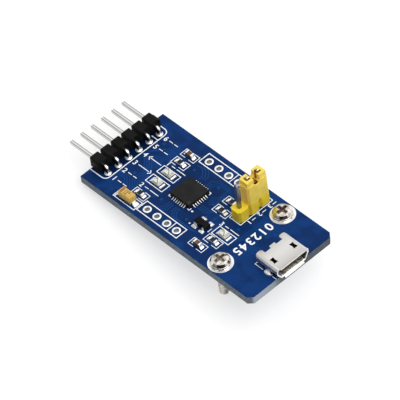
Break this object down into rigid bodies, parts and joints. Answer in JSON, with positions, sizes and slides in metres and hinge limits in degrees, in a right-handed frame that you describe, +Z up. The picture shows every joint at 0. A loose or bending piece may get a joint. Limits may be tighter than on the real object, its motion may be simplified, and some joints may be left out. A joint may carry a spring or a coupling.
{
  "type": "usb to serial adapter module",
  "caption": "Small circuit board with a micro USB socket at one end, a right-angle pin header at the other, a capped jumper, plated holes and mounting screws.",
  "frame": {"origin": "midway between the two screws, on the underside of the board", "axes": "+X along the board towards the USB socket, +Y across the board from the screw beside the lamps to the screw beside the jumper, +Z up out of the side that carries the parts"},
  "size_m": [0.0516, 0.0204, 0.0163],
  "materials": {
    "board": "blue solder mask on glass-fibre board",
    "tin": "tinned copper",
    "solder": "bright solder",
    "black_moulding": "moulded, satin",
    "yellow_moulding": "moulded, satin",
    "chip_moulding": "moulded, fine texture",
    "tank_moulding": "moulded, satin",
    "brown_ceramic": "fired ceramic",
    "lamp_base": "white laminate",
    "lamp_lens": "clear resin",
    "pin_metal": "tinned brass",
    "spring_brass": "plated spring sheet",
    "shell_steel": "nickel-plated, satin",
    "screw_steel": "nickel-plated, bright"
  },
  "bodies": {
    "root": {"circuit_board": "board", "hole_plating_front": "tin", "hole_plating_back": "tin", "screw_ring_front": "tin", "screw_ring_back": "tin", "header_body": "black_moulding", "header_solder": "solder", "jumper_header_body": "yellow_moulding", "jumper_header_solder": "solder", "jumper_cap": "yellow_moulding", "jumper_clip": "spring_brass", "usb_shell": "shell_steel", "usb_tongue": "black_moulding", "usb_contacts": "spring_brass", "usb_solder": "solder", "screw_front": "screw_steel", "screw_back": "screw_steel", "controller_body": "chip_moulding", "controller_pads": "solder", "surge_body": "chip_moulding", "surge_leads": "solder", "tank_capacitor_body": "tank_moulding", "tank_capacitor_ends": "solder", "header_pin_1": "pin_metal", "header_pin_2": "pin_metal", "header_pin_3": "pin_metal", "header_pin_4": "pin_metal", "header_pin_5": "pin_metal", "header_pin_6": "pin_metal", "jumper_pin_1": "pin_metal", "jumper_pin_2": "pin_metal", "jumper_pin_3": "pin_metal", "transmit_lamp_base": "lamp_base", "transmit_lamp_ends": "solder", "transmit_lamp_lens": "lamp_lens", "receive_lamp_base": "lamp_base", "receive_lamp_ends": "solder", "receive_lamp_lens": "lamp_lens", "power_lamp_base": "lamp_base", "power_lamp_ends": "solder", "power_lamp_lens": "lamp_lens", "transmit_resistor_body": "chip_moulding", "transmit_resistor_ends": "solder", "receive_resistor_body": "chip_moulding", "receive_resistor_ends": "solder", "jumper_resistor_back_body": "chip_moulding", "jumper_resistor_back_ends": "solder", "jumper_resistor_front_body": "chip_moulding", "jumper_resistor_front_ends": "solder", "power_resistor_body": "chip_moulding", "power_resistor_ends": "solder", "vcc_capacitor_body": "brown_ceramic", "vcc_capacitor_ends": "solder", "bus_capacitor_body": "brown_ceramic", "bus_capacitor_ends": "solder"}
  },
  "joints": []
}
